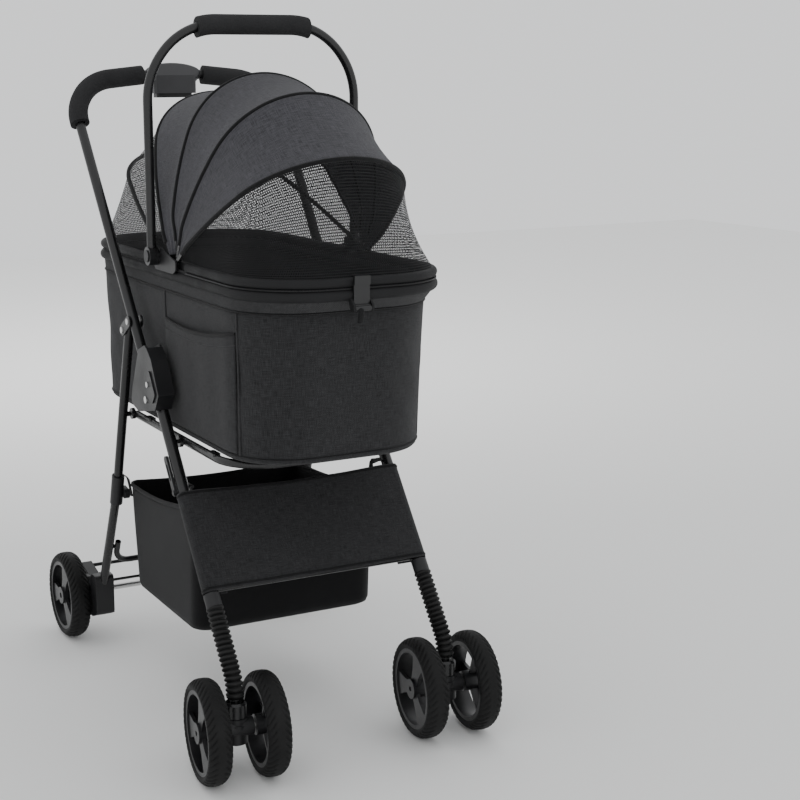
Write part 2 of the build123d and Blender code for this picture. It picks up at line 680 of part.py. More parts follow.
def bow_tongue(x0, x1, angle):
    """Flat eyelets at both feet of a bow."""
    tip = on_bow(0, tongue_reach, angle)
    face = slot_outline(canopy_pivot, (tip.Y, tip.Z), 3) + Pos(*canopy_pivot) * Circle(8)
    one = side_plate(x0, x1, face) - rod_x(x0 - 1, x1 + 1, canopy_pivot, pin_radius + running_gap)
    return both(one)


tongue_planes = {"front_bow": 157.6, "middle_bow": 155.1, "top_bow": 152.6}
for name, x0 in tongue_planes.items():
    angle, height = bows[name]
    bow = bow_rod(x0 + 1.1, angle, height)
    for tongue in bow_tongue(x0, x0 + 2.2, angle):
        bow += tongue
    save(name, bow)

fixed = []
for angle, height in rear_bows:
    rod_points = [arch_point(i / 40, bow_half_width, height) for i in range(41)]
    foot = 22.0 if angle < 140 else 62.0
    knots = [p for p in rod_points if p[1] > foot]
    path = Spline(*[on_bow(p[0], p[1], angle) for p in knots])
    fixed.append(sweep(Plane(origin=path @ 0, z_dir=path % 0) * Circle(bow_radius), path=path))
save("rear_bows", *fixed)

# ---- door rim of the canopy ----
door = rim_hoop(door_tongue_start, rim_front, upper_rim_z, upper_rim_radius)
for s in (-1, 1):
    face = slot_outline(canopy_pivot, (door_tongue_start - 6, upper_rim_z), 6.5)
    plate = side_plate(s * 146.0, s * 152.2, face)
    door += plate
    door -= rod_x(s * 145, s * 153, canopy_pivot, pin_radius + running_gap)
save("door_rim", door)

# ---- canopy panels ----
panel_thickness = 2.0
bow_room = 3.2


def strip(first, second, first_gap, second_gap):
    """A thin panel between two curves, each a list of points, kept off both by its gaps."""
    centre = Vector(0, canopy_pivot[0], canopy_pivot[1])
    sections = []
    for p, q in zip(first, second):
        along = (q - p).normalized()
        a = p + along * first_gap - centre
        b = q - along * second_gap - centre
        shrink_a = 1 - panel_thickness / a.length
        shrink_b = 1 - panel_thickness / b.length
        corners = [centre + a, centre + b, centre + b * shrink_b, centre + a * shrink_a]
        sections.append(make_face(Polyline(*corners, close=True)))
    return loft(sections, ruled=True)


def bow_curve(angle, height, first=0.09, steps=arch_steps):
    """Points of one bow between its feet, left out near the pivots."""
    span = [first + (1 - 2 * first) * i / steps for i in range(steps + 1)]
    return [on_bow(*arch_point(u, bow_half_width, height), angle) for u in span]


def hoop_curve(y_end, first, last, steps=arch_steps):
    """Points just above a rim hoop between the shares first and last of its length."""
    w = rim_half_width
    z = upper_rim_z + upper_rim_radius + 0.8
    path = FilletPolyline((-w, canopy_pivot[0], z), (-w, y_end, z), (w, y_end, z),
                          (w, canopy_pivot[0], z), radius=rim_corner)
    return [path @ (first + (last - first) * i / steps) for i in range(steps + 1)]


front, middle, top = (bow_curve(*bows[n]) for n in ("front_bow", "middle_bow", "top_bow"))
fourth, fifth = (bow_curve(*b) for b in rear_bows)
save("canopy_front", strip(front, middle, bow_room, bow_room))
save("canopy_middle", strip(middle, top, bow_room, bow_room))
save("canopy_rear", strip(top, fourth, bow_room, bow_room))
door_curve = hoop_curve(rim_front, 0.1, 0.9)
save("front_mesh", strip(door_curve, front, 0, bow_room))
rear_curve = hoop_curve(rim_rear, 0.12, 0.88)
save("rear_mesh", strip(fourth, fifth, bow_room, bow_room),
     strip(fifth, rear_curve, bow_room, 0))

# ---- bail handle over the carrier ----
bail_knee_z = 975.0
bail_crown_x = 115.0
bail_bend = 108.0
bail_grip_radius = 15.0
bail_grip_half = 91.0
bail_y = bail_pivot[0]
bail_points = [(-bail_x, bail_y, bail_pivot[1] + 6), (-bail_x, bail_y, bail_knee_z),
               (-bail_crown_x, bail_y, bail_top_z), (bail_crown_x, bail_y, bail_top_z),
               (bail_x, bail_y, bail_knee_z), (bail_x, bail_y, bail_pivot[1] + 6)]
foot_half = 7.6
bail = tube(bail_points, bail_bend, bail_radius)
for s in (-1, 1):
    bail += rod_x(s * (bail_x - foot_half), s * (bail_x + foot_half), bail_pivot, 14)
for s in (-1, 1):
    bail -= rod_x(s * 160, s * 182, bail_pivot, 4 + running_gap)
save("bail_tube", bail)
sleeve_path = FilletPolyline(*bail_points, radius=bail_bend)
sleeve_ring = Circle(bail_grip_radius) - Circle(bail_radius)
sleeve = sweep(Plane(origin=sleeve_path @ 0, z_dir=sleeve_path % 0) * sleeve_ring, path=sleeve_path)
save("bail_grip", sleeve & Pos(0, bail_y, bail_top_z) * Box(2 * bail_grip_half, 60, 90))
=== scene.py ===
import json
import math

import bmesh
import bpy
import numpy as np
from mathutils import Matrix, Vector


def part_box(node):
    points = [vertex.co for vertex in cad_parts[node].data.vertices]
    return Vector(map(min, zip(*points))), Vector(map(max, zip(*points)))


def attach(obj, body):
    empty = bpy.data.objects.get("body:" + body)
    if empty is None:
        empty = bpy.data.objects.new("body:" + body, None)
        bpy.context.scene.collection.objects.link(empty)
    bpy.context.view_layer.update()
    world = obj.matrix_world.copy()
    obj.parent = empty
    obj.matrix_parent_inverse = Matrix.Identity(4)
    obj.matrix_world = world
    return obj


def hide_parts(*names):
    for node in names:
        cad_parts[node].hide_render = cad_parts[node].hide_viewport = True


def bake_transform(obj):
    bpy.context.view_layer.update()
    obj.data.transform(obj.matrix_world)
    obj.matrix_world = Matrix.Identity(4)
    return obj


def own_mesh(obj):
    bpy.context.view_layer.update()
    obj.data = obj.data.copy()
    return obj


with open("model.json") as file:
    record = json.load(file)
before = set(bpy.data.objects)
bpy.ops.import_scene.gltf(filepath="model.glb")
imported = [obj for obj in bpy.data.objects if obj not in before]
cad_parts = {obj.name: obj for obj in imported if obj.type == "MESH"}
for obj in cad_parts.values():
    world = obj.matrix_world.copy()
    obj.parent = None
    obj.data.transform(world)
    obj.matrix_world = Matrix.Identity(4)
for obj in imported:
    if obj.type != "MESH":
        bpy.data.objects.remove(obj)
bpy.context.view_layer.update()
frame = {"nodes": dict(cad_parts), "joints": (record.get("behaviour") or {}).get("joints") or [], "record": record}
jointAt = {joint["name"]: joint for joint in frame["joints"]}
print("frame loaded:", len(frame["nodes"]), "nodes")


# ---------- mesh helpers ----------
# A grid of points becomes quads; a wrapped direction meets its own start again.
# Points that fall together, such as a pole, are merged, and faces are turned outwards.
def gridPiece(name, points, cloth=None, wrapU=False, wrapV=False, crease=40):
    nu, nv = points.shape[:2]
    iu = np.arange(nu if wrapU else nu - 1)[:, None]
    iv = np.arange(nv if wrapV else nv - 1)[None, :]
    ju, jv = (iu + 1) % nu, (iv + 1) % nv
    quads = np.stack([iu * nv + iv, ju * nv + iv, ju * nv + jv, iu * nv + jv], -1).reshape(-1, 4)
    mesh = bpy.data.meshes.new(name)
    mesh.from_pydata(points.reshape(-1, 3).tolist(), [], quads.tolist())
    if cloth is not None:
        ku, kv = iu + 1, iv + 1      # the cloth's own coordinates keep counting past a seam
        corners = [cloth[iu, iv], cloth[ku, iv], cloth[ku, kv], cloth[iu, kv]]
        layer = mesh.uv_layers.new(name="cloth")
        layer.data.foreach_set("uv", np.stack(corners, 2).reshape(-1).astype(np.float32))
    work = bmesh.new()
    work.from_mesh(mesh)
    bmesh.ops.remove_doubles(work, verts=work.verts, dist=2e-6)
    bmesh.ops.recalc_face_normals(work, faces=work.faces)
    work.to_mesh(mesh)
    work.free()
    mesh.shade_smooth()
    mesh.set_sharp_from_angle(angle=math.radians(crease))
    piece = bpy.data.objects.new(name, mesh)
    bpy.context.scene.collection.objects.link(piece)
    return piece


# Cloth coordinates in metres from the lengths of the grid's own rows and columns.
def clothOf(points, wrapU=False):
    closed = np.concatenate([points, points[:1]], 0) if wrapU else points
    alongU = np.linalg.norm(np.diff(closed, axis=0), axis=2).mean(1)
    alongV = np.linalg.norm(np.diff(closed, axis=1), axis=2).mean(0)
    u = np.concatenate([[0], np.cumsum(alongU)])
    v = np.concatenate([[0], np.cumsum(alongV)])
    return np.stack(np.broadcast_arrays(u[:, None], v[None, :]), -1)


# Points spread evenly along a line of points, n of them.
def evenly(line, n, closed=False):
    line = np.asarray(line, float)
    if closed:
        line = np.concatenate([line, line[:1]], 0)
    run = np.concatenate([[0], np.cumsum(np.linalg.norm(np.diff(line, axis=0), axis=1))])
    at = np.linspace(0, run[-1], n, endpoint=not closed)
    return np.stack([np.interp(at, run, line[:, k]) for k in range(line.shape[1])], -1)


# A round tube along a line: each ring is radius times (cos a, sin a) in the plane across the
# line, with across as the one direction that stays put. A wide tube is flat like a strap.
def tubePiece(name, line, radius, across, sides=12, closed=False, wide=1.0):
    line = np.asarray(line, float)
    if closed:
        along = np.roll(line, -1, 0) - np.roll(line, 1, 0)
    else:
        along = np.gradient(line, axis=0)
    along /= np.linalg.norm(along, axis=1)[:, None]
    first = np.broadcast_to(np.asarray(across, float), line.shape)
    first = first - (first * along).sum(1)[:, None] * along
    first /= np.linalg.norm(first, axis=1)[:, None]
    second = np.cross(along, first)
    radius = np.broadcast_to(radius, len(line))
    angle = np.arange(sides) * 2 * math.pi / sides
    ring = (first[:, None] * np.cos(angle)[None, :, None] * wide
            + second[:, None] * np.sin(angle)[None, :, None])
    points = line[:, None] + radius[:, None, None] * ring
    if not closed:
        ends = [np.broadcast_to(line[k], (1, sides, 3)) for k in (0, -1)]
        points = np.concatenate([ends[0], points, ends[1]], 0)
    cloth = clothOf(np.concatenate([points, points[:, :1]], 1), wrapU=closed)
    return gridPiece(name, points, cloth, wrapU=closed, wrapV=True, crease=50)


# One object made of the same small closed solid at many places along a line.
def beadPiece(name, line, ups, size):
    corner = np.array([[x, y, z] for x in (-1, 1) for y in (-1, 1) for z in (-1, 1)], float) / 2
    sides = [[0, 1, 3, 2], [4, 6, 7, 5], [0, 4, 5, 1], [2, 3, 7, 6], [0, 2, 6, 4], [1, 5, 7, 3]]
    line, ups = np.asarray(line, float), np.asarray(ups, float)
    along = np.gradient(line, axis=0)
    along /= np.linalg.norm(along, axis=1)[:, None]
    side = np.cross(along, ups)
    side /= np.linalg.norm(side, axis=1)[:, None]
    box = corner * np.asarray(size)
    points = (line[:, None] + along[:, None] * box[None, :, 0:1] + side[:, None] * box[None, :, 1:2]
              + np.cross(side, along)[:, None] * box[None, :, 2:3])
    faces = (np.arange(len(line))[:, None, None] * 8 + np.array(sides)[None]).reshape(-1, 4)
    mesh = bpy.data.meshes.new(name)
    mesh.from_pydata(points.reshape(-1, 3).tolist(), [], faces.tolist())
    work = bmesh.new()
    work.from_mesh(mesh)
    bmesh.ops.recalc_face_normals(work, faces=work.faces)
    work.to_mesh(mesh)
    work.free()
    piece = bpy.data.objects.new(name, mesh)
    bpy.context.scene.collection.objects.link(piece)
    return piece


def giveThickness(piece, thickness, offset=0.0):
    wall = piece.modifiers.new("wall", "SOLIDIFY")
    wall.thickness = thickness
    wall.offset = offset


def dress(piece, material, body=None):
    piece.data.materials.clear()
    piece.data.materials.append(material)
    if body:
        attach(piece, body)
    return piece


def smooth(t):
    t = np.clip(t, 0, 1)
    return t * t * (3 - 2 * t)


# ---------- material helpers ----------
class Wire:
    # a value in a material: sums, products and comparisons on it add Math nodes
    def __init__(self, paint, socket):
        self.paint, self.socket = paint, socket

    def math(self, operation, a, b=0.0):
        return self.paint.add("ShaderNodeMath", {"operation": operation}, {0: a, 1: b})

    def __add__(self, other):
        return self.math("ADD", self, other)

    __radd__ = __add__

    def __sub__(self, other):
        return self.math("SUBTRACT", self, other)

    def __rsub__(self, other):
        return self.math("SUBTRACT", other, self)

    def __mul__(self, other):
        return self.math("MULTIPLY", self, other)

    __rmul__ = __mul__

    def __gt__(self, other):
        return self.math("GREATER_THAN", self, other)

    def __lt__(self, other):
        return self.math("LESS_THAN", self, other)

    def sine(self):
        return self.math("SINE", self)

    def size(self):
        return self.math("ABSOLUTE", self)

    def most(self, other):
        return self.math("MAXIMUM", self, other)

    def floor(self):
        return self.math("FLOOR", self)

    def fraction(self):
        return self.math("FRACT", self)


class Paint:
    # one material around a Principled shader; fixed finishes are set on its own sockets
    def __init__(self, name, color, roughness, fixed=None):
        self.material = bpy.data.materials.new(name)
        self.material.use_nodes = True
        self.tree = self.material.node_tree
        self.shader = self.tree.nodes["Principled BSDF"]
        self.shader.inputs["Base Color"].default_value = (*color, 1)
        self.shader.inputs["Roughness"].default_value = roughness
        for socket, value in (fixed or {}).items():
            self.shader.inputs[socket].default_value = value

    def add(self, kind, settings=None, inputs=None, output=0):
        node = self.tree.nodes.new(kind)
        for key, value in (settings or {}).items():
            setattr(node, key, value)
        for key, value in (inputs or {}).items():
            self.feed(node.inputs[key], value)
        return Wire(self, node.outputs[output])

    def feed(self, socket, value):
        if isinstance(value, Wire):
            self.tree.links.new(value.socket, socket)
        else:
            socket.default_value = value

    def put(self, socket, value):
        self.feed(self.shader.inputs[socket], value)

    def coordinates(self, kind="Object", stretch=(1, 1, 1)):
        place = self.add("ShaderNodeTexCoord", output=kind)
        return self.add("ShaderNodeMapping", None, {"Vector": place, "Scale": stretch})

    def noise(self, vector, scale, detail=3.0):
        return self.add("ShaderNodeTexNoise", None,
                        {"Vector": vector, "Scale": scale, "Detail": detail})

    def range(self, value, low, high, toLow, toHigh):
        return self.add("ShaderNodeMapRange", None, {
            "Value": value, "From Min": low, "From Max": high, "To Min": toLow, "To Max": toHigh})

    def blendColor(self, factor, dark, light):
        return self.add("ShaderNodeMix", {"data_type": "RGBA"},
                        {0: factor, 6: (*dark, 1), 7: (*light, 1)}, output=2)

    def bump(self, height, distance, strength=1.0):
        self.put("Normal", self.add("ShaderNodeBump", None, {
            "Strength": strength, "Distance": distance, "Height": height}))


def solidPaint(name, dark, light, roughness, grain, depth, spread=0.08, fixed=None):
    paint = Paint(name, dark, roughness, fixed)
    place = paint.coordinates()
    cloud = paint.noise(place, 14.0, 4.0)
    fine = paint.noise(place, grain, 2.0)
    paint.put("Base Color", paint.blendColor(paint.range(cloud + fine * 0.35, 0.45, 0.9, 0, 1), dark, light))
    paint.put("Roughness", paint.range(cloud, 0.3, 0.7, roughness - spread, roughness + spread))
    paint.bump(fine, depth, 0.6)
    return paint


# Woven cloth on the cloth's own coordinates: warp and weft are half sine waves that take
# turns on top in a chequer of one thread, with thick and thin yarns running both ways.
def wovenPaint(name, dark, light, pitch, depth, roughness=0.92, melange=1.0, sheen=0.1):
    paint = Paint(name, dark, roughness, {"Sheen Weight": sheen, "Sheen Roughness": 0.5,
                                          "Specular IOR Level": 0.14})
    place = paint.coordinates("UV", (1 / pitch, 1 / pitch, 1))
    parts = place.paint.add("ShaderNodeSeparateXYZ", None, {0: place})
    u = parts
    v = Wire(paint, parts.socket.node.outputs[1])
    warp, weft = (u * math.pi).sine().size(), (v * math.pi).sine().size()
    turn = ((u.floor() + v.floor()) * 0.5).fraction() > 0.25
    weave = turn * warp + (1 - turn) * weft
    yarnsU = paint.noise(paint.coordinates("UV", (70, 900, 1)), 1.0, 2.0)
    yarnsV = paint.noise(paint.coordinates("UV", (900, 70, 1)), 1.0, 2.0)
    cloud = paint.noise(paint.coordinates("UV", (9, 9, 1)), 1.0, 3.0)
    streak = turn * yarnsU + (1 - turn) * yarnsV
    tone = paint.range(streak * melange + yarnsU * 0.5 + yarnsV * 0.5 + cloud * 0.3, 0.75, 1.45, 0, 1)
    paint.put("Base Color", paint.blendColor(tone, dark, light))
    paint.put("Roughness", paint.range(cloud, 0.3, 0.7, roughness - 0.06, roughness + 0.05))
    paint.bump(weave * 0.6 + streak * 0.8 + cloud * 1.5, depth, 0.8)
    return paint


# Knitted net: round holes in a staggered grid on the cloth's own coordinates.
def netPaint(name, color, pitch, hole):
    paint = Paint(name, color, 0.8, {"Specular IOR Level": 0.3})
    parts = paint.add("ShaderNodeSeparateXYZ", None, {0: paint.coordinates("UV", (1 / pitch, 1 / pitch, 1))})
    u, v = parts, Wire(paint, parts.socket.node.outputs[1])
    row = (v * 1.1547).floor()
    shift = (row * 0.5).fraction()
    du = (u + shift).fraction() - 0.5
    dv = ((v * 1.1547).fraction() - 0.5) * 0.866
    apart = du * du + dv * dv
    thread = apart > hole * hole
    paint.put("Alpha", thread)
    cloud = paint.noise(paint.coordinates("UV", (30, 30, 1)), 1.0, 3.0)
    paint.put("Base Color", paint.blendColor(cloud, color, tuple(c * 2.2 for c in color)))
    paint.bump(apart * -1.0, 0.0006, 0.7)
    return paint


# ---------- finishes ----------
matt = {"Specular IOR Level": 0.22}
coatedSteel = solidPaint("coatedSteel", (0.005, 0.005, 0.005), (0.010, 0.010, 0.011), 0.27, 700.0, 0.0002)
brightSteel = solidPaint("brightSteel", (0.5, 0.5, 0.5), (0.68, 0.68, 0.67), 0.3, 900.0, 0.0001, 0.1,
                         {"Metallic": 1.0})
mouldedPlastic = solidPaint("mouldedPlastic", (0.006, 0.006, 0.007), (0.013, 0.013, 0.014), 0.42, 1400.0,
                            0.0003, 0.08, {"Specular IOR Level": 0.4})
wheelPlastic = solidPaint("wheelPlastic", (0.007, 0.007, 0.008), (0.015, 0.015, 0.016), 0.34, 1200.0,
                          0.0002, 0.06)
greyPlastic = solidPaint("greyPlastic", (0.022, 0.022, 0.024), (0.036, 0.036, 0.039), 0.45, 1300.0, 0.0003)
foamSkin = solidPaint("foamSkin", (0.013, 0.013, 0.014), (0.028, 0.028, 0.029), 0.85, 420.0, 0.0014, 0.06, matt)
boltRubber = solidPaint("bellowsRubber", (0.006, 0.006, 0.006), (0.013, 0.013, 0.013), 0.5, 800.0, 0.0003,
                        0.06, matt)
charcoalCloth = wovenPaint("charcoalCloth", (0.009, 0.009, 0.0095), (0.036, 0.036, 0.038), 0.0014, 0.0005)
canopyCloth = wovenPaint("canopyCloth", (0.022, 0.022, 0.025), (0.078, 0.077, 0.087), 0.0012, 0.0004)
innerCloth = wovenPaint("innerCloth", (0.006, 0.006, 0.0065), (0.016, 0.016, 0.017), 0.0011, 0.0003)
basketCloth = wovenPaint("basketCloth", (0.0025, 0.0025, 0.003), (0.008, 0.008, 0.009), 0.0010, 0.0003, 0.75, 0.5)
bindingTape = wovenPaint("bindingTape", (0.004, 0.004, 0.0045), (0.014, 0.014, 0.015), 0.0018, 0.0005, 0.8, 0.5)
netCloth = netPaint("netCloth", (0.005, 0.005, 0.0055), 0.0031, 0.33)


# Rim tubes in a bound edge: ribs across the tape on object coordinates.
def boundEdgePaint():
    paint = Paint("boundEdge", (0.012, 0.012, 0.013), 0.6, {"Specular IOR Level": 0.2})
    place = paint.coordinates()
    fine = paint.noise(place, 900.0, 2.0)
    cloud = paint.noise(place, 25.0, 3.0)
    paint.put("Base Color", paint.blendColor(cloud, (0.006, 0.006, 0.0065), (0.019, 0.019, 0.02)))
    paint.put("Roughness", paint.range(cloud, 0.3, 0.7, 0.55, 0.75))
    paint.bump(fine + cloud * 2.0, 0.0007, 0.7)
    return paint


# Tyre: fine grooves across the tread, fading to a plain side wall, on object coordinates.
def tyrePaint():
    paint = Paint("tyreRubber", (0.01, 0.01, 0.01), 0.7, matt)
    place = paint.coordinates()
    fine = paint.noise(place, 600.0, 2.0)
    cloud = paint.noise(place, 30.0, 4.0)
    paint.put("Base Color", paint.blendColor(paint.range(cloud, 0.35, 0.7, 0, 1),
                                             (0.004, 0.004, 0.004), (0.013, 0.013, 0.013)))
    paint.put("Roughness", paint.range(cloud, 0.3, 0.7, 0.55, 0.8))
    paint.bump(fine + cloud, 0.0006, 0.8)
    return paint


boundEdge = boundEdgePaint()
tyreRubber = tyrePaint()
print("materials made")

# ---------- the frame's own nodes ----------
finishOfSlot = {
    "black_steel": coatedSteel, "bright_steel": brightSteel, "black_plastic": mouldedPlastic,
    "grey_plastic": greyPlastic, "wheel_plastic": wheelPlastic, "tyre": tyreRubber,
    "black_rubber": boltRubber, "foam": foamSkin, "charcoal_fabric": charcoalCloth,
    "black_fabric": basketCloth, "black_mesh": netCloth,
}
slotOfNode = {row["node"]: row["material_slot"] for row in frame["record"]["subparts"]}
for node, piece in frame["nodes"].items():
    finish = boundEdge if node in ("lower_rim", "rear_rim", "door_rim") else finishOfSlot[slotOfNode[node]]
    for place in piece.material_slots:
        place.material = finish.material

# ---------- tyres ----------
tread = {"outer": 0.075, "inner": 0.060, "half": 0.017, "blocks": 44, "depth": 0.0017, "slant": 0.0085}


# A tyre is its profile turned about the axle. Over the shoulders the radius drops in slanted
# grooves: the groove's place is the angle in blocks plus the distance from the middle / slant.
def makeTyres():
    half, outer, inner = tread["half"], tread["outer"], tread["inner"]
    profile = np.array([[-half + 0.002, inner], [-half, inner + 0.003], [-half, outer - 0.007],
                        [-half + 0.0035, outer - 0.0035], [-half + 0.008, outer - 0.0009], [-0.004, outer - 0.0001],
                        [0.004, outer - 0.0001], [half - 0.008, outer - 0.0009], [half - 0.0035, outer - 0.0035],
                        [half, outer - 0.007], [half, inner + 0.003], [half - 0.002, inner]])
    profile = evenly(profile, 46, closed=True)
    turns = tread["blocks"] * 9
    angle = np.arange(turns)[:, None] * 2 * math.pi / turns
    x, r = profile[:, 0][None], profile[:, 1][None]
    place = (angle * tread["blocks"] / (2 * math.pi) + np.abs(x) / tread["slant"]) % 1.0
    groove = smooth((0.20 - np.abs(place - 0.5)) / 0.10)
    shoulder = smooth((np.abs(x) - 0.0045) / 0.002) * smooth((r - outer + 0.0105) / 0.003)
    r = r - tread["depth"] * groove * shoulder
    for name, joint in jointAt.items():
        if not name.endswith("_spin"):
            continue
        axis = np.array(joint["axis"], float)
        side = np.cross([0, 0, 1.0], axis)
        centre = np.array(joint["pos_m"], float)
        node = name.replace("_spin", "_tyre")
        middle = (np.array(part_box(node)[0]) + np.array(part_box(node)[1])) / 2
        centre = centre + axis * float((middle - centre) @ axis)
        spoke = np.cos(angle)[..., None] * np.array([0, 0, 1.0]) + np.sin(angle)[..., None] * side
        points = centre + x[..., None] * axis + r[..., None] * spoke
        tyre = gridPiece(node.replace("_", "-") + "-tread", points, None, wrapU=True, wrapV=True, crease=50)
        dress(tyre, tyreRubber.material, joint["child"])
        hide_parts(node)


makeTyres()
print("tyres made")

# ---------- carrier bag ----------
tubLow, tubHigh = (np.array(corner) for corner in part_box("carrier_tub"))
bag = {
    "topZ": tubHigh[2], "seamZ": 0.659, "bottomZ": tubLow[2],
    "top": (0.1535, -0.3815, 0.3315, 0.1065),      # half width, front, rear, corner radius
    "seam": (0.152, -0.354, 0.326, 0.100),
    "bottom": (0.148, -0.338, 0.318, 0.095),
    "wall": 0.003, "slack": 0.0022, "pocketFront": -0.286, "pocketRear": -0.031, "pocketTop": 0.615,
}


# A rounded rectangle with n points by length, from the middle of the right side forwards.
def roundedRing(half, front, rear, corner, n):
    quarter = np.linspace(0, math.pi / 2, 24)
    c, s = np.cos(quarter) * corner, np.sin(quarter) * corner
    x, yf, yr = half - corner, front + corner, rear - corner
    middle = (front + rear) / 2
    line = [[[-half, middle]], np.stack([-x - c, yf - s], -1), np.stack([x + c[::-1], yf - s[::-1]], -1),
            np.stack([x + c, yr + s], -1), np.stack([-x - c[::-1], yr + s[::-1]], -1)]
    return evenly(np.concatenate(line), n, closed=True)


def bagSize(z):
    # the four numbers of the bag's ring at height z, straight between its three levels
    levels = [bag["bottomZ"], bag["seamZ"], bag["topZ"]]
    return [np.interp(z, levels, [bag[k][i] for k in ("bottom", "seam", "top")]) for i in range(4)]


ringCount = 176


def bagRing(z, inset=0.0):
    half, front, rear, corner = bagSize(z)
    ring = roundedRing(half - inset, front + inset, rear - inset, corner - inset, ringCount)
    return np.concatenate([ring, np.full((ringCount, 1), z)], 1)


def ringNormals(ring):
    along = np.roll(ring, -1, 0) - np.roll(ring, 1, 0)
    along /= np.linalg.norm(along[:, :2], axis=1)[:, None]
    return np.stack([-along[:, 1], along[:, 0], 0 * along[:, 0]], -1) * -1


# Slack of the walls: half a sine wave between the seam and the bottom, stronger on the flat
# sides than at the corners, plus two long wrinkles that slant across the cloth.
def bagSlack(ring, t, seed):
    flatness = np.clip(1 - (np.abs(ring[:, 0]) < 0.146) * (np.abs(ring[:, 1] + 0.01) < 0.3) * 1.0, 0.35, 1)
    along = np.arange(len(ring)) / len(ring) * 2 * math.pi
    fold = 0.0007 * np.sin(along * 13 + t * 9 + seed) + 0.0005 * np.sin(along * 29 - t * 14 + 2 * seed)
    return (-bag["slack"] * flatness + fold) * math.sin(math.pi * t)


def makeBag():
    rows = []
    for t in np.linspace(0, 1, 5):
        rows.append(bagRing(bag["topZ"] + (bag["seamZ"] - bag["topZ"]) * t))
    seam = bagRing(bag["seamZ"] - 0.0012)
    rows.append(seam + ringNormals(seam) * -0.0012)
    wallRows, turn = 26, 0.007
    foot = bag["bottomZ"] + turn
    for t in np.linspace(0.02, 1, wallRows):
        ring = bagRing(bag["seamZ"] + (foot - bag["seamZ"]) * t)
        rows.append(ring + ringNormals(ring) * bagSlack(ring, t, 0.7)[:, None])
    base = bagRing(foot)
    for angle in np.radians([30, 60, 90]):
        ring = base + ringNormals(base) * (-turn * (1 - math.cos(angle)))
        ring[:, 2] = foot - turn * math.sin(angle)
        rows.append(ring)
    centre = np.array([0, -0.01, bag["bottomZ"]])
    for share in (0.75, 0.4, 0.12, 0):
        rows.append(centre + (rows[-1] - centre) * (share if share else 0))
    outer = np.stack(rows, 1)
    shell = gridPiece("carrierBag", outer, clothOf(outer, True), wrapU=True, crease=60)
    dress(shell, charcoalCloth.material, "carrier")
    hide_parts("carrier_tub")
    floorZ = bag["bottomZ"] + bag["wall"]
    rows = [bagRing(bag["topZ"] - 0.0002, bag["wall"])]
    for t in np.linspace(0.06, 1, 16):
        ring = bagRing(bag["topZ"] + (floorZ + 0.006 - bag["topZ"]) * t, bag["wall"])
        rows.append(ring + ringNormals(ring) * (bagSlack(ring, t, 2.1) * 0.8)[:, None])
    low = rows[-1].copy()
    low[:, 2] = floorZ
    rows.append(low - ringNormals(low) * 0.006)
    centre = np.array([0, -0.01, floorZ])
    for share in (0.7, 0.35, 0):
        rows.append(centre + (rows[-1] - centre) * share)
    inner = np.stack(rows, 1)
    lining = gridPiece("bagLining", inner, clothOf(inner, True), wrapU=True, crease=60)
    work = bmesh.new()
    work.from_mesh(lining.data)
    bmesh.ops.reverse_faces(work, faces=work.faces)      # the lining is seen from inside
    work.to_mesh(lining.data)
    work.free()
    dress(lining, innerCloth.material, "carrier")
    return shell


bagShell = makeBag()


def sidePoint(y, z, out, side):
    # a point on the bag's side wall, out from the cloth; round the corner it follows the arc
    half, front, rear, corner = bagSize(z)
    beyond = np.maximum(front + corner - y, 0) + np.maximum(y - rear + corner, 0)
    x = half - corner + np.sqrt(np.maximum(corner ** 2 - beyond ** 2, 0))
    lean = np.minimum(beyond / corner, 1)
    slackShare = np.sin(math.pi * np.clip((bag["seamZ"] - z) / (bag["seamZ"] - bag["bottomZ"]), 0, 1))
    out = out - bag["slack"] * slackShare * 0.4
    x = x + out * np.sqrt(1 - lean ** 2)
    y = y - out * lean * np.sign(-0.01 - y) * -1 * -1
    return np.stack(np.broadcast_arrays(side * x, y, z), -1)


# Seams of the bag: a flat welt round the rim band, welts down the sides and one at the foot.
def makeSeams():
    ring = bagRing(bag["seamZ"] + 0.0006)
    welt = tubePiece("bandWelt", ring + ringNormals(ring) * 0.0004, 0.0015, (0, 0, 1), 8, True)
    dress(welt, bindingTape.material, "carrier")
    ring = bagRing(bag["bottomZ"] + 0.009)
    foot = tubePiece("footWelt", ring + ringNormals(ring) * 0.0002, 0.0014, (0, 0, 1), 8, True)
    dress(foot, bindingTape.material, "carrier")
    for hand, side in (("right", -1), ("left", 1)):
        for label, y in (("Rear", bag["pocketRear"]), ("Front", bag["pocketFront"])):
            z = np.linspace(bag["seamZ"] - 0.002, bag["bottomZ"] + 0.010, 40)
            lean = (bag["seamZ"] - z) * (0.05 if label == "Rear" else 0.03)
            line = sidePoint(y + lean, z, 0.0006, side)
            welt = tubePiece(hand + label + "Welt", line, 0.0011, (0, 1, 0), 8, wide=2.0)
            dress(welt, charcoalCloth.material, "carrier")


makeSeams()


